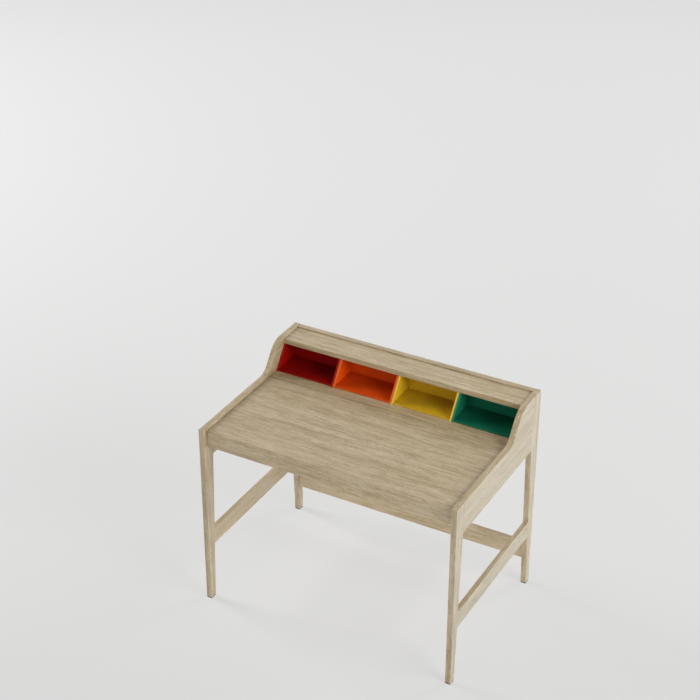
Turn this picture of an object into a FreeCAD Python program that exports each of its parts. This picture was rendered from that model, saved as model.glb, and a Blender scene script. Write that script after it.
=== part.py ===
import FreeCAD, Part
import Sketcher
import os
import re

# Student desk with a low hutch. Two side frames, each a tapered front leg, a tapered rear leg,
# a panel with an S-curved top edge and a low stretcher, carry a worktop, a hutch with four
# coloured box inserts and a back stretcher. Millimetres, +Z up, the front faces -Y, and the
# origin is on the floor under the middle of the desk. Places along the depth are measured
# from the front face of the front legs.

# Driving sizes, one cell each.
sizes = {
    "overall_width": "1000",
    "overall_depth": "668",
    "side_height": "838",
    "side_thickness": "21",
    # legs and the low front part of the side panels
    "front_leg_depth": "54",
    "rear_leg_depth": "56",
    "front_foot_depth": "28",
    "rear_foot_depth": "26",
    "panel_front_height": "123",
    # S-curve of the side panels, which starts ahead of the hutch base
    "curve_rise": "102",
    "curve_lead": "38",
    "curve_low_radius": "55",
    "curve_high_radius": "78",
    "curve_slope": "53",
    # stretchers
    "side_stretcher_bottom": "226",
    "side_stretcher_height": "66",
    "side_stretcher_thickness": "18",
    "back_stretcher_bottom": "117",
    "back_stretcher_height": "70",
    "back_stretcher_thickness": "18",
    "back_stretcher_inset": "10",
    # worktop and what carries it
    "worktop_drop": "11",
    "worktop_thickness": "18",
    "worktop_recess": "18",
    "worktop_side_gap": "2",
    "worktop_nose_radius": "3",
    "seam_gap": "3",
    "front_rail_height": "45",
    "front_rail_thickness": "20",
    "rear_rail_height": "45",
    "rear_rail_thickness": "18",
    "batten_height": "20",
    "cleat_width": "20",
    "cleat_end_gap": "6",
    "middle_rail_width": "40",
    # hutch
    "hutch_depth": "224",
    "hutch_ledge": "40",
    "hutch_top_drop": "6",
    "hutch_top_thickness": "20",
    "hutch_top_depth": "97",
    "hutch_top_nose_radius": "2",
    "back_thickness": "21",
    "back_drop": "1",
    "stop_rail_depth": "29",
    "stop_rail_height": "40",
    # box inserts
    "insert_wall": "7",
    "insert_floor": "6",
    "insert_gap": "0.5",
    # foot pads
    "pad_inset": "0.5",
    "pad_thickness": "4",
    # dowels and their holes
    "dowel_diameter": "8",
    "dowel_length": "30",
    "hole_clearance": "0.2",
    # cam fittings
    "cam_diameter": "15",
    "cam_height": "12",
    "cam_setback": "24",
    "cam_bolt_diameter": "6",
    "cam_bolt_seat": "11",
    # wood screws
    "screw_diameter": "4",
    "screw_head_diameter": "8",
    "screw_head_height": "2.5",
    "screw_length": "32",
    "pad_screw_diameter": "2.5",
    "pad_screw_head_diameter": "5",
    "pad_screw_head_height": "1.5",
    "pad_screw_length": "16",
}

# Sizes that follow from them.
worked_out = {
    "front_face": "=-overall_depth / 2",
    "inner_face": "=overall_width / 2 - side_thickness",
    "inner_width": "=2 * inner_face",
    "side_middle": "=overall_width / 2 - side_thickness / 2",
    # levels and places that pieces share
    "side_front_height": "=side_height - curve_rise",
    "panel_bottom": "=side_front_height - panel_front_height",
    "worktop_height": "=side_front_height - worktop_drop",
    "worktop_rear": "=overall_depth - hutch_depth",
    "base_front": "=worktop_rear + seam_gap",
    "back_front": "=overall_depth - back_thickness",
    # legs and panel
    "rear_foot_front": "=overall_depth - rear_foot_depth",
    "panel_rear": "=overall_depth - rear_leg_depth",
    "front_taper": "=(front_leg_depth - front_foot_depth) / (panel_bottom - pad_thickness)",
    "rear_taper": "=(rear_leg_depth - rear_foot_depth) / (panel_bottom - pad_thickness)",
    # S-curve: a low arc, a straight ramp and a high arc, tangent to one another
    "curve_start": "=base_front - curve_lead",
    "arcs_rise": "=(curve_low_radius + curve_high_radius) * (1 - cos(curve_slope))",
    "ramp_run": "=(curve_rise - arcs_rise) / tan(curve_slope)",
    "low_arc_centre": "=side_front_height + curve_low_radius",
    "ramp_low_place": "=curve_start + curve_low_radius * sin(curve_slope)",
    "ramp_low_height": "=side_front_height + curve_low_radius * (1 - cos(curve_slope))",
    "ramp_high_place": "=ramp_low_place + ramp_run",
    "ramp_high_height": "=side_height - curve_high_radius * (1 - cos(curve_slope))",
    "curve_end": "=ramp_high_place + curve_high_radius * sin(curve_slope)",
    "high_arc_centre": "=side_height - curve_high_radius",
    # stretchers
    "side_stretcher_top": "=side_stretcher_bottom + side_stretcher_height",
    "low_joint_rise": "=side_stretcher_bottom - pad_thickness",
    "high_joint_rise": "=side_stretcher_top - pad_thickness",
    "front_low_joint": "=front_foot_depth + front_taper * low_joint_rise",
    "front_high_joint": "=front_foot_depth + front_taper * high_joint_rise",
    "rear_low_joint": "=rear_foot_front - rear_taper * low_joint_rise",
    "rear_high_joint": "=rear_foot_front - rear_taper * high_joint_rise",
    "front_joint": "=(front_low_joint + front_high_joint) / 2",
    "rear_joint": "=(rear_low_joint + rear_high_joint) / 2",
    "back_stretcher_front": "=overall_depth - back_stretcher_inset - back_stretcher_thickness",
    # worktop, hutch base and rails
    "board_underside": "=worktop_height - worktop_thickness",
    "board_width": "=inner_width - 2 * worktop_side_gap",
    "worktop_nose_place": "=worktop_recess + worktop_nose_radius",
    "worktop_nose_height": "=worktop_height - worktop_nose_radius",
    "front_rail_bottom": "=board_underside - front_rail_height",
    "rear_rail_bottom": "=board_underside - rear_rail_height",
    "rear_rail_front": "=back_front - rear_rail_thickness",
    "batten_bottom": "=board_underside - batten_height",
    "middle_rail_front": "=worktop_rear + seam_gap / 2 - middle_rail_width / 2",
    "cleat_front": "=front_leg_depth + cleat_end_gap",
    "cleat_length": "=middle_rail_front - cleat_end_gap - cleat_front",
    # hutch
    "hutch_top_height": "=side_height - hutch_top_drop",
    "hutch_top_underside": "=hutch_top_height - hutch_top_thickness",
    "hutch_top_front": "=back_front - hutch_top_depth",
    "hutch_nose_place": "=hutch_top_front + hutch_top_nose_radius",
    "hutch_nose_height": "=hutch_top_height - hutch_top_nose_radius",
    "back_board_height": "=side_height - back_drop - rear_rail_bottom",
    "stop_rail_front": "=back_front - stop_rail_depth",
    # box inserts
    "insert_back": "=stop_rail_front - insert_gap",
    "insert_front_low": "=base_front + hutch_ledge",
    "insert_front_high": "=hutch_top_front",
    "insert_top": "=hutch_top_underside - insert_gap",
    "insert_width": "=(inner_width - 5 * insert_gap) / 4",
    "insert_inner_width": "=insert_width - 2 * insert_wall",
    "insert_lean": "=(insert_front_high - insert_front_low) / (insert_top - worktop_height)",
    "insert_floor_front": "=insert_front_low + insert_lean * insert_floor",
    "insert_floor_top": "=worktop_height + insert_floor",
    # foot pads, a little smaller than the feet
    "pad_width": "=side_thickness - 2 * pad_inset",
    "front_pad_depth": "=front_foot_depth - 2 * pad_inset",
    "rear_pad_depth": "=rear_foot_depth - 2 * pad_inset",
    # fasteners
    "cam_bolt_length": "=cam_bolt_seat + cam_setback - cam_diameter / 2 - hole_clearance",
}

# Where fasteners sit along a joint, as shares of its length.
front_dowel_shares = (0.18, 0.5, 0.82)
rear_dowel_shares = (0.1, 0.37, 0.63, 0.9)
end_dowel_shares = (0.2, 0.8)
middle_share = 0.5
top_cam_shares = (0.25, 0.85)
cleat_screw_shares = (0.08, 0.5, 0.92)
worktop_screw_shares = (0.28, 0.72)
board_screw_shares = (-0.4, 0, 0.4)
middle_row_shares = {"worktop": 0.25, "hutch_base": 0.75}

insert_colours = ("red", "orange", "yellow", "green")
sides = {"left": -1, "right": 1}

doc = FreeCAD.newDocument("StudentDesk")
dims = doc.addObject("Spreadsheet::Sheet", "Dimensions")
for row, (alias, text) in enumerate({**sizes, **worked_out}.items(), start=1):
    dims.set(f"A{row}", alias.replace("_", " "))
    dims.set(f"B{row}", text)
    dims.setAlias(f"B{row}", alias)
doc.recompute()

pieces = {}
cutters = {}
groups = {}


# A formula in the words of the sheet, as an expression that other objects can use.
def link(text):
    return re.sub(r"[a-z_]{3,}", lambda word: f"{dims.Name}.{word[0]}", text)


def bind(item, name, text):
    item.setExpression(name, link(text))


def place(item, x, y, z):
    for axis, text in zip("xyz", (x, y, z)):
        bind(item, f"Placement.Base.{axis}", text)


# A block with square edges: its low corner, then its size, both along X, Y and Z.
def block(label, corner, size):
    item = doc.addObject("Part::Box", label)
    for name, text in zip(("Length", "Width", "Height"), size):
        bind(item, name, text)
    x, y, z = corner
    place(item, x, f"front_face + {y}", z)
    return item


def board(label, corner, size):
    pieces[label] = block(label, corner, size)


def cell(alias):
    return float(dims.get(alias)) if alias != "0" else 0.0


# Holds one point of a sketch at the places that two cells name.
def pin(sketch, edge, point, across, up, skip=None):
    for name, alias, axis in (("DistanceX", across, -2), ("DistanceY", up, -1)):
        if name == skip:
            continue
        if alias == "0":
            sketch.addConstraint(Sketcher.Constraint("PointOnObject", edge, point, axis))
            continue
        rule = Sketcher.Constraint(name, -1, 1, edge, point, cell(alias))
        bind(sketch, f"Constraints[{sketch.addConstraint(rule)}]", alias)


# A piece cut from a board to an outline in the side view and as thick as one cell says, from x on.
# Corners run anticlockwise from the front face and the floor. A corner in arcs starts a round
# stretch about that centre, up to the next corner.
def shaped(label, corners, thickness, x, arcs=None):
    arcs = arcs or {}
    body = doc.addObject("PartDesign::Body", label)
    sketch = body.newObject("Sketcher::SketchObject", f"{label}_outline")
    plane = next(item for item in body.Origin.OriginFeatures if item.Role == "YZ_Plane")
    sketch.AttachmentSupport = (plane, [""])
    sketch.MapMode = "FlatFace"
    points = [FreeCAD.Vector(cell(across), cell(up), 0) for across, up in corners]
    ends = []
    for index, start in enumerate(points):
        stop = points[(index + 1) % len(points)]
        if index not in arcs:
            ends.append((sketch.addGeometry(Part.LineSegment(start, stop)), 1, 2))
            continue
        centre = FreeCAD.Vector(*[cell(alias) for alias in arcs[index]], 0)
        outward = ((start + stop) * middle_share - centre).normalize()
        top = centre + outward * start.distanceToPoint(centre)
        edge = sketch.addGeometry(Part.Arc(start, top, stop))
        turns_left = (start - centre).cross(stop - centre).z > 0
        ends.append((edge, 1, 2) if turns_left else (edge, 2, 1))
    skips = {}
    for index, (edge, first, last) in enumerate(ends):
        following = (index + 1) % len(ends)
        sketch.addConstraint(Sketcher.Constraint("Coincident", edge, last, *ends[following][:2]))
        if index in arcs:
            pin(sketch, edge, 3, *arcs[index])
            spoke = points[following] - FreeCAD.Vector(*[cell(alias) for alias in arcs[index]], 0)
            skips[following] = "DistanceY" if abs(spoke.y) > abs(spoke.x) else "DistanceX"
    for index, (edge, first, last) in enumerate(ends):
        pin(sketch, edge, first, *corners[index], skips.get(index))
    pad = body.newObject("PartDesign::Pad", f"{label}_pad")
    pad.Profile = sketch
    bind(pad, "Length", thickness)
    place(body, x, "front_face", "0")
    pieces[label] = body


turns = {
    "+x": FreeCAD.Rotation(FreeCAD.Vector(0, 1, 0), 90),
    "-x": FreeCAD.Rotation(FreeCAD.Vector(0, 1, 0), -90),
    "+y": FreeCAD.Rotation(FreeCAD.Vector(1, 0, 0), -90),
    "-y": FreeCAD.Rotation(FreeCAD.Vector(1, 0, 0), 90),
    "+z": FreeCAD.Rotation(),
}


# A round bar that starts at a point and runs along a direction.
def rod(direction, start, diameter, length):
    item = doc.addObject("Part::Cylinder", "rod")
    item.Placement = FreeCAD.Placement(FreeCAD.Vector(), turns[direction])
    bind(item, "Radius", f"({diameter}) / 2")
    bind(item, "Height", length)
    place(item, *start)
    return item


# The tapered head of a countersunk screw, its wide face at the start.
def head(direction, start, diameter, height, shank):
    item = doc.addObject("Part::Cone", "head")
    item.Placement = FreeCAD.Placement(FreeCAD.Vector(), turns[direction])
    bind(item, "Radius1", f"({diameter}) / 2")
    bind(item, "Radius2", f"({shank}) / 2")
    bind(item, "Height", height)
    place(item, *start)
    return item


def fused(name, parts):
    item = doc.addObject("Part::MultiFuse", name)
    item.Shapes = parts
    return item


def fit(group, solid, hole, hosts):
    groups.setdefault(group, []).append(solid)
    for host in hosts:
        cutters.setdefault(host, []).append(hole)


# A dowel half in each of two pieces, in a hole that is a little wider and longer.
def dowel(group, direction, middle, hosts):
    axis = "xyz".index(direction[1])

    def start(length):
        point = list(middle)
        point[axis] = f"{point[axis]} - ({length}) / 2"
        return point

    long_hole = "dowel_length + hole_clearance"
    solid = rod(direction, start("dowel_length"), "dowel_diameter", "dowel_length")
    hole = rod(direction, start(long_hole), "dowel_diameter + hole_clearance", long_hole)
    fit(group, solid, hole, hosts)


# A countersunk screw whose head is flush at the start, with a hole of the same form.
def screw(group, direction, start, hosts, size="screw"):
    shank, wide, deep, length = (f"{size}_{name}" for name in
                                 ("diameter", "head_diameter", "head_height", "length"))
    loose = " + hole_clearance"
    solid = fused("fastener", [rod(direction, start, shank, length),
                               head(direction, start, wide, deep, shank)])
    hole = fused("drilling", [rod(direction, start, shank + loose, length + loose),
                              head(direction, start, wide + loose, deep + loose, shank + loose)])
    fit(group, solid, hole, hosts)


# A cam disc let into a face of a rail, and the bolt that it draws in from the side frame.
def cam(side, place_along, height, face, rail, host):
    sign = sides[side]
    centre = f"{sign} * (inner_face - cam_setback)"
    disc_start = {"+z": (centre, f"front_face + {place_along}", face),
                  "-y": (centre, f"front_face + {face}", height)}
    direction = "+z" if rail == "hutch_top" else "-y"
    start = disc_start[direction]
    disc = rod(direction, start, "cam_diameter", "cam_height")
    pocket = rod(direction, start, "cam_diameter + hole_clearance", "cam_height + hole_clearance")
    fit("cam_discs", disc, pocket, [rail])
    inwards = "-x" if side == "right" else "+x"
    tip = (f"{sign} * (inner_face + cam_bolt_seat)", f"front_face + {place_along}", height)
    bolt = rod(inwards, tip, "cam_bolt_diameter", "cam_bolt_length")
    wider = "cam_bolt_diameter + hole_clearance"
    channel = rod(inwards, tip, wider, "cam_bolt_length + hole_clearance")
    fit("cam_bolts", bolt, channel, [rail, host])


# Side frames
for side, sign in sides.items():
    outer = "-overall_width / 2" if sign < 0 else "inner_face"
    stretcher_outer = "-overall_width / 2" if sign < 0 else "overall_width / 2 - side_stretcher_thickness"
    shaped(f"{side}_front_leg",
           [("0", "pad_thickness"), ("front_foot_depth", "pad_thickness"),
            ("front_leg_depth", "panel_bottom"), ("front_leg_depth", "side_front_height"),
            ("0", "side_front_height")],
           "side_thickness", outer)
    shaped(f"{side}_rear_leg",
           [("rear_foot_front", "pad_thickness"), ("overall_depth", "pad_thickness"),
            ("overall_depth", "side_height"), ("panel_rear", "side_height"),
            ("panel_rear", "panel_bottom")],
           "side_thickness", outer)
    shaped(f"{side}_side_panel",
           [("front_leg_depth", "panel_bottom"), ("panel_rear", "panel_bottom"),
            ("panel_rear", "side_height"), ("curve_end", "side_height"),
            ("ramp_high_place", "ramp_high_height"), ("ramp_low_place", "ramp_low_height"),
            ("curve_start", "side_front_height"), ("front_leg_depth", "side_front_height")],
           "side_thickness", outer,
           {3: ("curve_end", "high_arc_centre"), 5: ("curve_start", "low_arc_centre")})
    shaped(f"{side}_side_stretcher",
           [("front_low_joint", "side_stretcher_bottom"), ("rear_low_joint", "side_stretcher_bottom"),
            ("rear_high_joint", "side_stretcher_top"), ("front_high_joint", "side_stretcher_top")],
           "side_stretcher_thickness", stretcher_outer)

# Back stretcher, rails and cleats
board("back_stretcher", ("-inner_face", "back_stretcher_front", "back_stretcher_bottom"),
      ("inner_width", "back_stretcher_thickness", "back_stretcher_height"))
board("front_rail", ("-inner_face", "worktop_recess", "front_rail_bottom"),
      ("inner_width", "front_rail_thickness", "front_rail_height"))
board("middle_rail", ("-inner_face", "middle_rail_front", "batten_bottom"),
      ("inner_width", "middle_rail_width", "batten_height"))
board("rear_rail", ("-inner_face", "rear_rail_front", "rear_rail_bottom"),
      ("inner_width", "rear_rail_thickness", "rear_rail_height"))
for side, sign in sides.items():
    cleat_corner = "-inner_face" if sign < 0 else "inner_face - cleat_width"
    board(f"{side}_cleat", (cleat_corner, "cleat_front", "batten_bottom"),
          ("cleat_width", "cleat_length", "batten_height"))

# Worktop, with an eased front edge, and the hutch's own boards
shaped("worktop",
       [("worktop_recess", "board_underside"), ("worktop_rear", "board_underside"),
        ("worktop_rear", "worktop_height"), ("worktop_nose_place", "worktop_height"),
        ("worktop_recess", "worktop_nose_height")],
       "board_width", "-board_width / 2", {3: ("worktop_nose_place", "worktop_nose_height")})
board("hutch_base", ("-board_width / 2", "base_front", "board_underside"),
      ("board_width", "back_front - base_front", "worktop_thickness"))
shaped("hutch_top",
       [("hutch_top_front", "hutch_top_underside"), ("back_front", "hutch_top_underside"),
        ("back_front", "hutch_top_height"), ("hutch_nose_place", "hutch_top_height"),
        ("hutch_top_front", "hutch_nose_height")],
       "inner_width", "-inner_face", {3: ("hutch_nose_place", "hutch_nose_height")})
board("back_board", ("-inner_face", "back_front", "rear_rail_bottom"),
      ("inner_width", "back_thickness", "back_board_height"))
board("stop_rail", ("-inner_face", "stop_rail_front", "worktop_height"),
      ("inner_width", "stop_rail_depth", "stop_rail_height"))

# Box inserts, side by side between the side panels
for index, colour in enumerate(insert_colours):
    left = f"insert_gap - inner_face + {index} * (insert_width + insert_gap)"
    wall_outline = [("insert_front_low", "worktop_height"), ("insert_back", "worktop_height"),
                    ("insert_back", "insert_top"), ("insert_front_high", "insert_top")]
    shaped(f"{colour}_insert_left_side", wall_outline, "insert_wall", left)
    shaped(f"{colour}_insert_right_side", wall_outline, "insert_wall",
           f"{left} + insert_width - insert_wall")
    board(f"{colour}_insert_floor", (f"{left} + insert_wall", "insert_floor_front", "worktop_height"),
          ("insert_inner_width", "insert_back - insert_floor_front", "insert_floor"))
    board(f"{colour}_insert_back", (f"{left} + insert_wall", "insert_back - insert_wall", "insert_floor_top"),
          ("insert_inner_width", "insert_wall", "insert_top - insert_floor_top"))

# Foot pads, each held by a small screw
foot_fronts = {"front": "0", "rear": "rear_foot_front"}
pads = []
for side, sign in sides.items():
    for end, foot in foot_fronts.items():
        corner = (f"{sign} * side_middle - pad_width / 2", f"{foot} + pad_inset", "0")
        pads.append(block("pad", corner, ("pad_width", f"{end}_pad_depth", "pad_thickness")))
        centre = (f"{sign} * side_middle", f"front_face + {foot} + {end}_foot_depth / 2", "0")
        screw("foot_pad_screws", "+z", centre, ["foot_pads", f"{side}_{end}_leg"], "pad_screw")
pieces["foot_pads"] = doc.addObject("Part::Compound", "foot_pads")
pieces["foot_pads"].Links = pads

# Dowels, cams and screws
for side, sign in sides.items():
    middle_x = f"{sign} * side_middle"
    joint_x = f"{sign} * inner_face"
    for share in front_dowel_shares:
        height = f"panel_bottom + {share} * (side_front_height - panel_bottom)"
        dowel("frame_dowels", "+y", (middle_x, "front_face + front_leg_depth", height),
              [f"{side}_front_leg", f"{side}_side_panel"])
    for share in rear_dowel_shares:
        height = f"panel_bottom + {share} * (side_height - panel_bottom)"
        dowel("frame_dowels", "+y", (middle_x, "front_face + panel_rear", height),
              [f"{side}_rear_leg", f"{side}_side_panel"])
    stretcher_x = f"{sign} * (overall_width / 2 - side_stretcher_thickness / 2)"
    for share in end_dowel_shares:
        height = f"side_stretcher_bottom + {share} * side_stretcher_height"
        for end in ("front", "rear"):
            dowel("stretcher_dowels", "+y", (stretcher_x, f"front_face + {end}_joint", height),
                  [f"{side}_{end}_leg", f"{side}_side_stretcher"])
    for rail, front, bottom, host in (("front_rail", "worktop_recess", "front_rail_bottom", "front_leg"),
                                      ("rear_rail", "rear_rail_front", "rear_rail_bottom", "rear_leg"),
                                      ("back_stretcher", "back_stretcher_front",
                                       "back_stretcher_bottom", "rear_leg")):
        for share in end_dowel_shares:
            centre = (joint_x, f"front_face + {front} + {rail}_thickness / 2",
                      f"{bottom} + {share} * {rail}_height")
            dowel("rail_dowels", "+x", centre, [rail, f"{side}_{host}"])
    for share in end_dowel_shares:
        centre = (joint_x, f"front_face + middle_rail_front + {share} * middle_rail_width",
                  "batten_bottom + batten_height / 2")
        dowel("rail_dowels", "+x", centre, ["middle_rail", f"{side}_side_panel"])
    cam(side, "worktop_recess + front_rail_thickness / 2", "front_rail_bottom + front_rail_height / 2",
        "worktop_recess + front_rail_thickness", "front_rail", f"{side}_front_leg")
    cam(side, "back_stretcher_front + back_stretcher_thickness / 2",
        "back_stretcher_bottom + back_stretcher_height / 2",
        "back_stretcher_front + back_stretcher_thickness", "back_stretcher", f"{side}_rear_leg")
    for share, host in zip(top_cam_shares, ("side_panel", "rear_leg")):
        cam(side, f"hutch_top_front + {share} * hutch_top_depth",
            "hutch_top_underside + hutch_top_thickness / 2", "hutch_top_underside",
            "hutch_top", f"{side}_{host}")
    outwards = "+x" if sign > 0 else "-x"
    for share in cleat_screw_shares:
        start = (f"{sign} * (inner_face - cleat_width)", f"front_face + cleat_front + {share} * cleat_length",
                 "batten_bottom + batten_height / 2")
        screw("cleat_screws", outwards, start, [f"{side}_cleat", f"{side}_side_panel"])
    for share in worktop_screw_shares:
        start = (f"{sign} * (inner_face - cleat_width / 2)",
                 f"front_face + cleat_front + {share} * cleat_length", "batten_bottom")
        screw("worktop_screws", "+z", start, [f"{side}_cleat", "worktop"])

for share in board_screw_shares:
    across = f"{share} * inner_width"
    for top, row_share in middle_row_shares.items():
        start = (across, f"front_face + middle_rail_front + {row_share} * middle_rail_width", "batten_bottom")
        screw(f"{top}_screws", "+z", start, ["middle_rail", top])
    start = (across, "front_face + (stop_rail_front + rear_rail_front) / 2", "board_underside")
    screw("hutch_base_screws", "+z", start, ["hutch_base", "stop_rail"])
    for held, height in (("hutch_top", "hutch_top_underside + hutch_top_thickness / 2"),
                         ("hutch_base", "board_underside + worktop_thickness / 2")):
        start = (across, "front_face + overall_depth", height)
        screw("back_board_screws", "-y", start, ["back_board", held])

for label, solids in groups.items():
    pieces[label] = doc.addObject("Part::Compound", label)
    pieces[label].Links = solids

# Drilled pieces take the place of their blanks.
for label, holes in cutters.items():
    drilled = doc.addObject("Part::Cut", f"{label}_drilled")
    drilled.Base = pieces[label]
    drilled.Tool = fused(f"{label}_holes", holes) if len(holes) > 1 else holes[0]
    pieces[label].Label = f"{label}_blank"
    pieces[label] = drilled
doc.recompute()

faults = [item.Label for item in doc.Objects if "Invalid" in item.State or "Error" in item.State]
for label, piece in pieces.items():
    piece.Label = label
    if piece.Shape.isNull() or not piece.Shape.isValid():
        faults.append(label)
if faults:
    raise SystemExit(f"not built: {sorted(set(faults))}")

os.makedirs("parts", exist_ok=True)
for label, piece in pieces.items():
    piece.Shape.exportStep(f"parts/{label}.step")
print(len(pieces), "pieces,", sum(len(piece.Shape.Solids) for piece in pieces.values()), "solids")
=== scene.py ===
import math
import bmesh
import bpy
from mathutils import Matrix, Vector


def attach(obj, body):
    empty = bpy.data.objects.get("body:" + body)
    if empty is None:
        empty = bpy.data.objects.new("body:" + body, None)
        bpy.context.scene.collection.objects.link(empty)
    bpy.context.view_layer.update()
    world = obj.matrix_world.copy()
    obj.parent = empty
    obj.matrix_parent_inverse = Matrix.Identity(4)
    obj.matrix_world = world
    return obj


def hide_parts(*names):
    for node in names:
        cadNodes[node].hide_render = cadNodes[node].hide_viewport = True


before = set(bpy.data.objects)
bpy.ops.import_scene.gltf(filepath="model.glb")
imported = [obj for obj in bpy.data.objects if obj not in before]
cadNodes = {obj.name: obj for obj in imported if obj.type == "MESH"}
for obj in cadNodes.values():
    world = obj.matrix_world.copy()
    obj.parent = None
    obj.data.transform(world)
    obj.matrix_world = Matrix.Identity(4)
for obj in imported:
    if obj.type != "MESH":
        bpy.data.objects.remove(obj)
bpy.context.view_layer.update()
scene = bpy.context.scene
scene.view_settings.view_transform = "Standard"
print("frame loaded:", len(cadNodes), "nodes")

white = (1.0, 1.0, 1.0, 1.0)
noiseMiddle = 0.5
sameSpot = 0.00001  # corners of a CAD mesh this near to one another are one corner, in metres


# Shader helpers: a node with its inputs filled in, and the few sums that the finishes use
def addNode(tree, kind, inputs=None, **settings):
    node = tree.nodes.new(kind)
    for name, value in settings.items():
        setattr(node, name, value)
    for key, value in (inputs or {}).items():
        if isinstance(value, bpy.types.NodeSocket):
            tree.links.new(value, node.inputs[key])
        else:
            node.inputs[key].default_value = value
    return node


def sumOf(tree, operation, first, second):
    return addNode(tree, "ShaderNodeMath", {0: first, 1: second}, operation=operation).outputs[0]


def mixOf(tree, factor, first, second, blend="MIX"):
    inputs = {0: factor, 6: first, 7: second}
    return addNode(tree, "ShaderNodeMix", inputs, data_type="RGBA", blend_type=blend).outputs[2]


def rangeOf(tree, value, low, high, start=0.0, end=1.0):
    inputs = {"Value": value, "From Min": low, "From Max": high, "To Min": start, "To Max": end}
    return addNode(tree, "ShaderNodeMapRange", inputs, clamp=True).outputs[0]


def noiseOf(tree, vector, scale=1.0, detail=1.0, roughness=0.5):
    inputs = {"Vector": vector, "Scale": scale, "Detail": detail, "Roughness": roughness}
    return addNode(tree, "ShaderNodeTexNoise", inputs).outputs["Fac"]


def swingOf(tree, noise, weight):  # noise about zero
    return sumOf(tree, "MULTIPLY", sumOf(tree, "SUBTRACT", noise, noiseMiddle), weight)


def stretched(tree, vector, scales, shift=(0.0, 0.0, 0.0)):
    inputs = {"Vector": vector, "Scale": scales, "Location": shift}
    return addNode(tree, "ShaderNodeMapping", inputs).outputs[0]


def startFinish(name):
    finish = bpy.data.materials.new(name)
    finish.use_nodes = True
    finish.node_tree.nodes.clear()
    tree = finish.node_tree
    shader = addNode(tree, "ShaderNodeBsdfPrincipled")
    output = addNode(tree, "ShaderNodeOutputMaterial")
    tree.links.new(shader.outputs[0], output.inputs[0])
    return finish, tree, shader, addNode(tree, "ShaderNodeTexCoord").outputs


def setBump(tree, shader, height, look):
    inputs = {"Height": height, "Strength": look["bumpStrength"], "Distance": look["bumpDistance"]}
    tree.links.new(addNode(tree, "ShaderNodeBump", inputs).outputs[0], shader.inputs["Normal"])


# Lacquered oak: layers from broad bands to fine fibres, dark dashes and pores, drawn out along the grain
oak = {
    "dark": (0.280, 0.199, 0.093, 1.0),
    "middle": (0.400, 0.309, 0.180, 1.0),
    "pale": (0.510, 0.418, 0.280, 1.0),
    "pore": (0.190, 0.130, 0.060, 1.0),
    "shadeStops": (0.15, 0.50, 0.85),  # the shades that come out dark, middle and pale
    "edge": (0.475, 0.383, 0.248, 1.0),  # painted highlight: the eased edges go towards this paler colour
    "edgeHighlightShare": 0.35,  # and this far
    "outer": (0.83, 0.92, 1.075, 1.0),  # painted light: the outer faces of the side frames are greyer, as faces in bright light look
    "inner": (0.90, 0.91, 0.95, 1.0),  # painted shade: their inner faces are a shade darker
    "faceRange": (0.5, 0.9),  # how squarely a face looks outwards or inwards
    "bands": ((1.0, 10.0, 10.0), 0.08),  # scale along and across the grain, weight
    "streaks": ((2.8, 54.0, 54.0), 0.95),
    "strands": ((11.0, 110.0, 110.0), 1.15),
    "flecks": ((110.0, 190.0, 190.0), 0.60),
    "fibres": ((30.0, 620.0, 620.0), 0.60),
    "layerNoise": (1.0, 2.0, 0.55),  # scale, detail and roughness of each layer
    "dashScale": (34.0, 220.0, 220.0),
    "dashRange": (0.58, 0.74),
    "dashDepth": 0.85,
    "poreScale": (60.0, 1000.0, 1000.0),
    "poreRange": (0.62, 0.72),
    "poreDepth": 0.5,
    "cutShares": (1.0, 0.37, 0.61),  # how far the cut from the log moves the figure along each axis
    "wander": 0.012,
    "wanderScale": (2.2, 6.0, 6.0),
    "lacquerRange": (0.3, 0.7),
    "roughness": (0.40, 0.54),
    "specular": 0.5,
    "coat": 1.0,
    "coatRoughness": 0.36,
    "fibreHeight": 0.5,
    "bumpStrength": 0.22,
    "bumpDistance": 0.0004,
}


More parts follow.
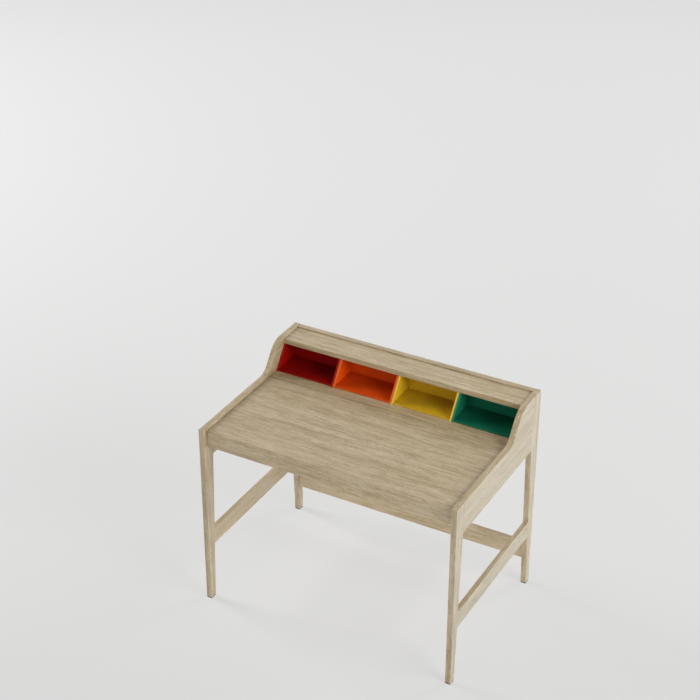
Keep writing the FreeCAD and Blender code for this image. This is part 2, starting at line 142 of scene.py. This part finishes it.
def oakFinish(name, along, shift, tone, figure, outward):
    finish, tree, shader, surface = startFinish(name)
    parts = addNode(tree, "ShaderNodeSeparateXYZ", {0: surface["Object"]}).outputs
    order = {"X": (0, 1, 2), "Y": (1, 0, 2), "Z": (2, 0, 1)}[along]
    reordered = {place: parts[axis] for place, axis in enumerate(order)}
    grain = addNode(tree, "ShaderNodeCombineXYZ", reordered).outputs[0]
    grain = stretched(tree, grain, (1.0, 1.0, 1.0), tuple(shift * share for share in oak["cutShares"]))
    # the fibres wander a little across the board
    lean = noiseOf(tree, stretched(tree, grain, oak["wanderScale"]))
    lean = swingOf(tree, lean, oak["wander"])
    offset = addNode(tree, "ShaderNodeCombineXYZ", {1: lean, 2: lean}).outputs[0]
    grain = addNode(tree, "ShaderNodeVectorMath", {0: grain, 1: offset}, operation="ADD").outputs[0]
    darkStop, middleStop, paleStop = oak["shadeStops"]
    shade = middleStop
    layers = {}
    for layer in ("bands", "streaks", "strands", "flecks", "fibres"):
        scales, weight = oak[layer]
        layers[layer] = noiseOf(tree, stretched(tree, grain, scales), *oak["layerNoise"])
        shade = sumOf(tree, "ADD", shade, swingOf(tree, layers[layer], weight * figure))
    dashes = noiseOf(tree, stretched(tree, grain, oak["dashScale"]))
    pores = noiseOf(tree, stretched(tree, grain, oak["poreScale"]))
    dashMix = rangeOf(tree, dashes, *oak["dashRange"], 0.0, oak["dashDepth"] * figure)
    poreMix = rangeOf(tree, pores, *oak["poreRange"], 0.0, oak["poreDepth"])
    colour = mixOf(tree, rangeOf(tree, shade, darkStop, middleStop), oak["dark"], oak["middle"])
    colour = mixOf(tree, rangeOf(tree, shade, middleStop, paleStop), colour, oak["pale"])
    colour = mixOf(tree, dashMix, colour, oak["dark"])
    colour = mixOf(tree, poreMix, colour, oak["pore"])
    colour = mixOf(tree, 1.0, colour, (tone, tone, tone, 1.0), "MULTIPLY")
    # painted light and shade: faces turned out from a side frame are tinted greyer, faces turned in darker
    if outward:
        start, full = oak["faceRange"]
        across = addNode(tree, "ShaderNodeSeparateXYZ", {0: surface["Normal"]}).outputs[0]
        across = sumOf(tree, "MULTIPLY", across, outward)
        outer = mixOf(tree, 1.0, colour, oak["outer"], "MULTIPLY")
        inner = mixOf(tree, 1.0, colour, oak["inner"], "MULTIPLY")
        colour = mixOf(tree, rangeOf(tree, across, -full, -start), inner, colour)
        colour = mixOf(tree, rangeOf(tree, across, start, full), colour, outer)
    fibreHeight = sumOf(tree, "MULTIPLY", layers["fibres"], oak["fibreHeight"])
    setBump(tree, shader, sumOf(tree, "SUBTRACT", fibreHeight, poreMix), oak)
    lacquer = rangeOf(tree, layers["strands"], *oak["lacquerRange"], *oak["roughness"])
    tree.links.new(colour, shader.inputs["Base Color"])
    tree.links.new(lacquer, shader.inputs["Roughness"])
    shader.inputs["Specular IOR Level"].default_value = oak["specular"]
    shader.inputs["Coat Weight"].default_value = oak["coat"]
    shader.inputs["Coat Roughness"].default_value = oak["coatRoughness"]
    return finish


def highlightedEdgeOak(finish):  # the same finish a little paler, a painted highlight for the eased edges
    highlighted = finish.copy()
    highlighted.name = finish.name + "Edge"
    tree = highlighted.node_tree
    shader = next(node for node in tree.nodes if node.type == "BSDF_PRINCIPLED")
    source = shader.inputs["Base Color"].links[0].from_socket
    tree.links.new(mixOf(tree, oak["edgeHighlightShare"], source, oak["edge"]), shader.inputs["Base Color"])
    return highlighted


# Satin paint on the insert boards: a faint roller texture, a slight mottle in the colour and a painted
# highlight on the slanted front edges
paint = {
    "colours": {
        "red": (0.255, 0.0035, 0.003, 1.0),
        "orange": (0.620, 0.066, 0.005, 1.0),
        "yellow": (0.560, 0.340, 0.014, 1.0),
        "green": (0.008, 0.132, 0.074, 1.0),
    },
    "shade": 0.16,
    "mottle": (22.0, 3.0, 0.6),  # scale, detail and roughness of the noise
    "roller": (900.0, 2.0, 0.5),
    "mottleRange": (0.3, 0.7),
    "edges": {  # painted highlight: the slanted front edges of the walls, which catch the light, are paler
        "red": (0.280, 0.0110, 0.005, 1.0),
        "orange": (0.640, 0.116, 0.024, 1.0),
        "yellow": (0.680, 0.465, 0.080, 1.0),
        "green": (0.022, 0.200, 0.075, 1.0),
    },
    "slantRange": (0.2, 0.4),
    "roughness": (0.36, 0.48),
    "specular": 0.16,
    "bumpStrength": 0.10,
    "bumpDistance": 0.0002,
}


def paintFinish(name, colour, highlightColour):
    finish, tree, shader, surface = startFinish(name)
    mottle = noiseOf(tree, surface["Object"], *paint["mottle"])
    roller = noiseOf(tree, surface["Object"], *paint["roller"])
    darker = tuple(value * (1.0 - paint["shade"]) for value in colour[:3]) + (1.0,)
    # only the slanted edges face forwards and upwards at once
    turn = addNode(tree, "ShaderNodeSeparateXYZ", {0: surface["Normal"]}).outputs
    slant = sumOf(tree, "MULTIPLY", sumOf(tree, "MULTIPLY", turn[1], -1.0), turn[2])
    shown = mixOf(tree, rangeOf(tree, mottle, *paint["mottleRange"]), darker, colour)
    # painted highlight on the slanted front edges
    shown = mixOf(tree, rangeOf(tree, slant, *paint["slantRange"]), shown, highlightColour)
    gloss = rangeOf(tree, mottle, *paint["mottleRange"], *paint["roughness"])
    setBump(tree, shader, roller, paint)
    tree.links.new(shown, shader.inputs["Base Color"])
    tree.links.new(gloss, shader.inputs["Roughness"])
    shader.inputs["Specular IOR Level"].default_value = paint["specular"]
    return finish


# Zinc-plated steel, die-cast cams, beech dowels and dark plastic pads
smallFinishes = {
    "steel": {"first": (0.52, 0.52, 0.50, 1.0), "second": (0.40, 0.40, 0.39, 1.0), "metallic": 1.0,
              "roughness": (0.28, 0.45), "scales": (300.0, 300.0, 300.0)},
    "zinc": {"first": (0.46, 0.46, 0.46, 1.0), "second": (0.33, 0.33, 0.34, 1.0), "metallic": 1.0,
             "roughness": (0.42, 0.60), "scales": (220.0, 220.0, 220.0)},
    "beech": {"first": (0.62, 0.45, 0.28, 1.0), "second": (0.48, 0.32, 0.19, 1.0), "metallic": 0.0,
              "roughness": (0.55, 0.70), "scales": (120.0, 120.0, 120.0)},
    "pad": {"first": (0.030, 0.029, 0.028, 1.0), "second": (0.018, 0.018, 0.018, 1.0), "metallic": 0.0,
            "roughness": (0.55, 0.75), "scales": (500.0, 500.0, 500.0)},
}
smallGrain = {"noise": (1.0, 4.0, 0.6), "range": (0.3, 0.7), "bumpStrength": 0.15, "bumpDistance": 0.0001}


def smallFinish(name):
    look = smallFinishes[name]
    finish, tree, shader, surface = startFinish(name + "Finish")
    grainy = noiseOf(tree, stretched(tree, surface["Object"], look["scales"]), *smallGrain["noise"])
    gloss = rangeOf(tree, grainy, *smallGrain["range"], *look["roughness"])
    setBump(tree, shader, grainy, smallGrain)
    tree.links.new(mixOf(tree, grainy, look["second"], look["first"]), shader.inputs["Base Color"])
    tree.links.new(gloss, shader.inputs["Roughness"])
    shader.inputs["Metallic"].default_value = look["metallic"]
    return finish


def coat(node, *coats):
    materials = cadNodes[node].data.materials
    materials.clear()
    for finish in coats:
        materials.append(finish)


# Every board keeps its CAD shape; its arrises are eased and it gets its finish
easing = {"oak": 0.0008, "insert": 0.0006, "pad": 0.0006, "segments": 2, "angle": 40.0}


def dress(node, finish, edgeFinish, arris):
    coat(node, finish, edgeFinish)
    board = cadNodes[node]
    weld = board.modifiers.new("weld", "WELD")
    weld.merge_threshold = sameSpot
    bevel = board.modifiers.new("arris", "BEVEL")
    bevel.width = arris
    bevel.segments = easing["segments"]
    bevel.limit_method = "ANGLE"
    bevel.angle_limit = math.radians(easing["angle"])
    bevel.use_clamp_overlap = False
    bevel.loop_slide = False
    bevel.material = 1
    bevel.face_strength_mode = "FSTR_ALL"
    even = board.modifiers.new("even", "WEIGHTED_NORMAL")  # the eased edges leave the faces' shading alone
    even.keep_sharp = True
    even.use_face_influence = True


oakBoards = {  # grain direction, where the board was cut from the log, tone, strength of the figure
    "worktop": ("X", 61.30, 0.97, 1.00),
    "hutch_base": ("X", 3.10, 1.03, 0.95),
    "hutch_top": ("X", 5.70, 1.04, 1.00),
    "back_board": ("X", 8.20, 0.95, 0.95),
    "front_rail": ("X", 11.30, 0.99, 0.90),
    "middle_rail": ("X", 13.90, 0.97, 0.90),
    "rear_rail": ("X", 16.40, 0.97, 0.90),
    "stop_rail": ("X", 19.20, 0.97, 0.90),
    "back_stretcher": ("X", 22.60, 1.12, 0.85),
    "left_side_panel": ("Y", 25.10, 0.99, 0.85),
    "right_side_panel": ("Y", 28.40, 0.98, 0.80),
    "left_side_stretcher": ("Y", 31.20, 1.04, 0.80),
    "right_side_stretcher": ("Y", 34.50, 0.95, 0.85),
    "left_cleat": ("Y", 37.30, 0.96, 0.90),
    "right_cleat": ("Y", 40.10, 0.97, 0.90),
    "left_front_leg": ("Z", 43.40, 0.94, 0.85),
    "right_front_leg": ("Z", 46.80, 0.95, 0.90),
    "left_rear_leg": ("Z", 49.10, 0.99, 0.85),
    "right_rear_leg": ("Z", 52.30, 1.02, 0.95),
}

for node, (along, shift, tone, figure) in oakBoards.items():
    outward = {"left": -1.0, "right": 1.0}.get(node.split("_")[0], 0.0)
    finish = oakFinish("oak_" + node, along, shift, tone, figure, outward)
    dress(node, finish, highlightedEdgeOak(finish), easing["oak"])
print("oak boards dressed:", len(oakBoards))

for colourName, colour in paint["colours"].items():
    finish = paintFinish(colourName + "Paint", colour, paint["edges"][colourName])
    for part in ("floor", "back", "left_side", "right_side"):
        dress(f"{colourName}_insert_{part}", finish, finish, easing["insert"])
print("inserts painted:", len(paint["colours"]))

finishes = {name: smallFinish(name) for name in smallFinishes}
for node in ("frame_dowels", "stretcher_dowels", "rail_dowels"):
    coat(node, finishes["beech"])
coat("cam_bolts", finishes["steel"])
dress("foot_pads", finishes["pad"], finishes["pad"], easing["pad"])
print("dowels, cam bolts and foot pads finished")


# Boxes round the separate solids of a CAD group
def solidsOf(node):
    mesh = bmesh.new()
    mesh.from_mesh(cadNodes[node].data)
    bmesh.ops.remove_doubles(mesh, verts=mesh.verts, dist=sameSpot)
    left = set(mesh.verts)
    boxes = []
    while left:
        reached = {left.pop()}
        waiting = list(reached)
        while waiting:
            for edge in waiting.pop().link_edges:
                fresh = set(edge.verts) - reached
                reached |= fresh
                waiting += fresh
        left -= reached
        low = Vector([min(vert.co[axis] for vert in reached) for axis in range(3)])
        high = Vector([max(vert.co[axis] for vert in reached) for axis in range(3)])
        boxes.append((low, high))
    mesh.free()
    return sorted(boxes, key=lambda box: tuple(box[0]))


def turned(mesh, profile, steps, matrix):  # a closed outline of radius and height, turned about its axis
    rings = []
    for radius, height in profile:
        if radius == 0.0:
            rings.append([mesh.verts.new(matrix @ Vector((0.0, 0.0, height)))] * steps)
            continue
        angles = [2.0 * math.pi * step / steps for step in range(steps)]
        rings.append([mesh.verts.new(matrix @ Vector((radius * math.cos(a), radius * math.sin(a), height)))
                      for a in angles])
    for lower, upper in zip(rings, rings[1:]):
        for step in range(steps):
            corners = [lower[step], lower[(step + 1) % steps], upper[(step + 1) % steps], upper[step]]
            kept = [vert for i, vert in enumerate(corners) if vert not in corners[:i]]
            if len(kept) > 2:
                mesh.faces.new(kept)
    return rings


def facing(direction, start):  # local +Z runs into the work from the start
    axis = Vector(direction)
    return Matrix.Translation(start) @ axis.to_track_quat("Z", "Y").to_matrix().to_4x4()


# A cross recess in a round face: the face round it, sloping walls and a small floor
recess = {"floorShare": 0.55}


def crossedFace(mesh, rim, matrix, half, arm, depth):
    outline = [(arm, half), (half, half), (half, arm), (-half, arm), (-half, half), (-arm, half),
               (-arm, -half), (-half, -half), (-half, -arm), (half, -arm), (half, -half), (arm, -half)]
    top = [mesh.verts.new(matrix @ Vector((x, y, 0.0))) for x, y in outline]
    share = recess["floorShare"]
    floor = [mesh.verts.new(matrix @ Vector((x * share, y * share, depth))) for x, y in outline]
    loops = [mesh.edges.get((a, b)) or mesh.edges.new((a, b))
             for ring in (rim, top) for a, b in zip(ring, ring[1:] + ring[:1])]
    bmesh.ops.triangle_fill(mesh, use_beauty=True, edges=loops)
    inner = set(top)
    for face in [face for face in mesh.faces if set(face.verts) <= inner]:
        mesh.faces.remove(face)
    for i in range(len(top)):
        j = (i + 1) % len(top)
        mesh.faces.new((top[i], top[j], floor[j], floor[i]))
    mesh.faces.new(floor)


smoothAngle = 35.0  # steeper edges of the turned pieces stay sharp


def addPiece(name, mesh, finish, body, replaced):
    bmesh.ops.recalc_face_normals(mesh, faces=mesh.faces)
    data = bpy.data.meshes.new(name)
    mesh.to_mesh(data)
    mesh.free()
    data.materials.append(finish)
    for polygon in data.polygons:
        polygon.use_smooth = True
    data.set_sharp_from_angle(angle=math.radians(smoothAngle))
    piece = bpy.data.objects.new(name, data)
    scene.collection.objects.link(piece)
    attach(piece, body)
    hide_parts(replaced)


# Countersunk cross-head screws, one piece for each group
screws = {
    "groups": {  # which way each group is driven
        "back_board_screws": (0.0, -1.0, 0.0),
        "worktop_screws": (0.0, 0.0, 1.0),
        "hutch_base_screws": (0.0, 0.0, 1.0),
        "foot_pad_screws": (0.0, 0.0, 1.0),
        "cleat_screws": None,  # outwards to either side
    },
    "rimShare": 0.03,
    "headDepthShare": 0.3125,
    "shankShare": 0.5,
    "pointShare": 0.14,
    "crossHalfShare": 0.12,
    "crossArmShare": 0.52,
    "crossDepthShare": 0.30,
    "steps": 32,
}


def makeScrews(group, driven):
    mesh = bmesh.new()
    for low, high in solidsOf(group):
        middle = (low + high) / 2.0
        axis = Vector(driven) if driven else Vector((math.copysign(1.0, middle.x), 0.0, 0.0))
        size = high - low
        length = abs(size.dot(axis))
        radius = min(size) / 2.0
        start = middle - axis * length / 2.0
        matrix = facing(axis, start)
        shank = radius * screws["shankShare"]
        headDepth = 2.0 * radius * screws["headDepthShare"]
        rim = radius * screws["rimShare"]
        profile = [(radius - rim, 0.0), (radius, rim), (shank, headDepth),
                   (shank, length * (1.0 - screws["pointShare"])), (0.0, length)]
        rings = turned(mesh, profile, screws["steps"], matrix)
        crossedFace(mesh, rings[0], matrix, radius * screws["crossHalfShare"],
                    radius * screws["crossArmShare"], radius * screws["crossDepthShare"])
    addPiece(group + "_turned", mesh, finishes["steel"], "desk", group)


for group, driven in screws["groups"].items():
    makeScrews(group, driven)
print("screws made:", len(screws["groups"]))

# Cam discs with a rounded rim and a cross recess, let into the rails and the hutch top
cams = {
    "rimRound": 0.0006,
    "rimShare": 0.3,  # how far the middle of the rounding stands off the corner
    "flatShare": 0.9,  # a disc lower than this share of its width lies flat
    "crossHalf": 0.0008,
    "crossArm": 0.0036,
    "crossDepth": 0.0022,
    "steps": 40,
}


def makeCams():
    mesh = bmesh.new()
    for low, high in solidsOf("cam_discs"):
        size = high - low
        middle = (low + high) / 2.0
        radius = max(size) / 2.0
        lies = size.z < size.x * cams["flatShare"]  # in the hutch top they face down, elsewhere backwards
        axis = Vector((0.0, 0.0, 1.0)) if lies else Vector((0.0, -1.0, 0.0))
        depth = min(size)
        matrix = facing(axis, middle - axis * depth / 2.0)
        rim = cams["rimRound"]
        inset = rim * cams["rimShare"]
        profile = [(radius - rim, 0.0), (radius - inset, inset), (radius, rim),
                   (radius, depth), (0.0, depth)]
        rings = turned(mesh, profile, cams["steps"], matrix)
        crossedFace(mesh, rings[0], matrix, cams["crossHalf"], cams["crossArm"], cams["crossDepth"])
    addPiece("cam_discs_cast", mesh, finishes["zinc"], "desk", "cam_discs")


makeCams()
print("cams made")

# Floor, background and light
studio = {
    "floorHalf": 30.0,
    "floorColour": (0.90, 0.90, 0.895, 1.0),
    "shownNear": (0.655, 0.654, 0.650, 1.0),  # the paper as the camera sees it, near and far
    "shownFar": (0.780, 0.780, 0.780, 1.0),
    "shownShare": 0.80,  # the rest is left to lamps and shadows
    "shadeAlong": (-0.48, 0.88, 0.0),  # the floor grows paler this way
    "shadeSpan": (-0.5, 5.8),
    "skyLow": (0.85, 0.85, 0.85, 1.0),
    "skyHigh": (0.80, 0.80, 0.80, 1.0),
    "skySpan": (0.02, 0.75),
    "fillHigh": 0.05,  # soft light, faint from above and strong from near the floor
    "fillLow": 1.20,
    "fillFall": 4.0,
    "lampAim": (0.0, 0.0, 0.60),
    "lamps": {  # place, width, height, power
        "rightLamp": ((7.29, -1.28, 3.64), 5.3, 3.6, 645.0),
        "leftLamp": ((-7.56, 0.27, 3.21), 2.9, 4.6, 720.0),
        "rearLamp": ((3.47, 6.00, 4.60), 2.9, 2.9, 233.0),
        "frontLamp": ((-0.72, -7.73, 2.58), 4.3, 2.5, 90.0),
    },
}


def seenDirectly(tree):  # 1 for what the camera sees, straight on, mirrored or through glass
    path = addNode(tree, "ShaderNodeLightPath").outputs
    seen = sumOf(tree, "MAXIMUM", path["Is Camera Ray"], path["Is Glossy Ray"])
    return sumOf(tree, "MAXIMUM", seen, path["Is Transmission Ray"])


def makeFloor():
    half = studio["floorHalf"]
    data = bpy.data.meshes.new("studioFloor")
    corners = [(-half, -half, 0.0), (half, -half, 0.0), (half, half, 0.0), (-half, half, 0.0)]
    data.from_pydata(corners, [], [(0, 1, 2, 3)])
    finish = bpy.data.materials.new("studioPaper")
    finish.use_nodes = True
    tree = finish.node_tree
    tree.nodes.clear()
    paper = addNode(tree, "ShaderNodeBsdfDiffuse", {"Color": studio["floorColour"]}).outputs[0]
    point = addNode(tree, "ShaderNodeTexCoord").outputs["Object"]
    directions = {0: point, 1: studio["shadeAlong"]}
    along = addNode(tree, "ShaderNodeVectorMath", directions, operation="DOT_PRODUCT").outputs[1]
    shown = mixOf(tree, rangeOf(tree, along, *studio["shadeSpan"]), studio["shownNear"], studio["shownFar"])
    glow = addNode(tree, "ShaderNodeEmission", {"Color": shown, "Strength": 1.0}).outputs[0]
    share = sumOf(tree, "MULTIPLY", seenDirectly(tree), studio["shownShare"])
    mixed = addNode(tree, "ShaderNodeMixShader", {0: share, 1: paper, 2: glow}).outputs[0]
    addNode(tree, "ShaderNodeOutputMaterial", {0: mixed})
    data.materials.append(finish)
    floor = bpy.data.objects.new("studioFloor", data)
    scene.collection.objects.link(floor)


def makeLight():
    world = bpy.data.worlds.new("studioSky")
    scene.world = world
    world.use_nodes = True
    tree = world.node_tree
    tree.nodes.clear()
    direction = addNode(tree, "ShaderNodeTexCoord").outputs["Generated"]
    height = addNode(tree, "ShaderNodeSeparateXYZ", {0: direction}).outputs[2]
    backdrop = mixOf(tree, rangeOf(tree, height, *studio["skySpan"]), studio["skyLow"], studio["skyHigh"])
    lowness = sumOf(tree, "POWER", rangeOf(tree, height, 0.0, 1.0, 1.0, 0.0), studio["fillFall"])
    strength = rangeOf(tree, lowness, 0.0, 1.0, studio["fillHigh"], studio["fillLow"])
    fill = addNode(tree, "ShaderNodeBackground", {"Color": white, "Strength": strength}).outputs[0]
    shown = addNode(tree, "ShaderNodeBackground", {"Color": backdrop, "Strength": 1.0}).outputs[0]
    mixed = addNode(tree, "ShaderNodeMixShader", {0: seenDirectly(tree), 1: fill, 2: shown}).outputs[0]
    addNode(tree, "ShaderNodeOutputWorld", {0: mixed})
    for name, (place, wide, tall, power) in studio["lamps"].items():
        lamp = bpy.data.lights.new(name, "AREA")
        lamp.shape = "RECTANGLE"
        lamp.size = wide
        lamp.size_y = tall
        lamp.energy = power
        light = bpy.data.objects.new(name, lamp)
        aim = Vector(studio["lampAim"]) - Vector(place)
        light.rotation_euler = aim.to_track_quat("-Z", "Y").to_euler()
        light.location = place
        light.visible_camera = False
        light.visible_glossy = False  # the lacquer mirrors the pale room, not the lamps
        scene.collection.objects.link(light)


makeFloor()
makeLight()
print("floor and light set")

# Camera, where the photograph was taken from
cameraPose = {"place": (2.3494, -4.4090, 3.9384), "azimuth": 28.871, "elevation": 30.223, "roll": -0.079,
              "focalPixels": 1689.15, "imagePixels": 700.0, "sensor": 36.0, "farClip": 100.0}


def makeCamera():
    azimuth, elevation, roll = (math.radians(cameraPose[name]) for name in ("azimuth", "elevation", "roll"))
    level = math.cos(elevation)
    ahead = Vector((-math.sin(azimuth) * level, math.cos(azimuth) * level, -math.sin(elevation)))
    right = Vector((math.cos(azimuth), math.sin(azimuth), 0.0))
    up = right.cross(ahead)
    tilt, upright = math.sin(roll), math.cos(roll)
    right, up = right * upright - up * tilt, up * upright + right * tilt
    lens = bpy.data.cameras.new("photoCamera")
    lens.sensor_width = cameraPose["sensor"]
    lens.lens = cameraPose["focalPixels"] * cameraPose["sensor"] / cameraPose["imagePixels"]
    lens.clip_end = cameraPose["farClip"]
    camera = bpy.data.objects.new("photoCamera", lens)
    turn = Matrix((right, up, -ahead)).transposed().to_4x4()
    camera.matrix_world = Matrix.Translation(cameraPose["place"]) @ turn
    scene.collection.objects.link(camera)
    scene.camera = camera


makeCamera()
print("camera set")
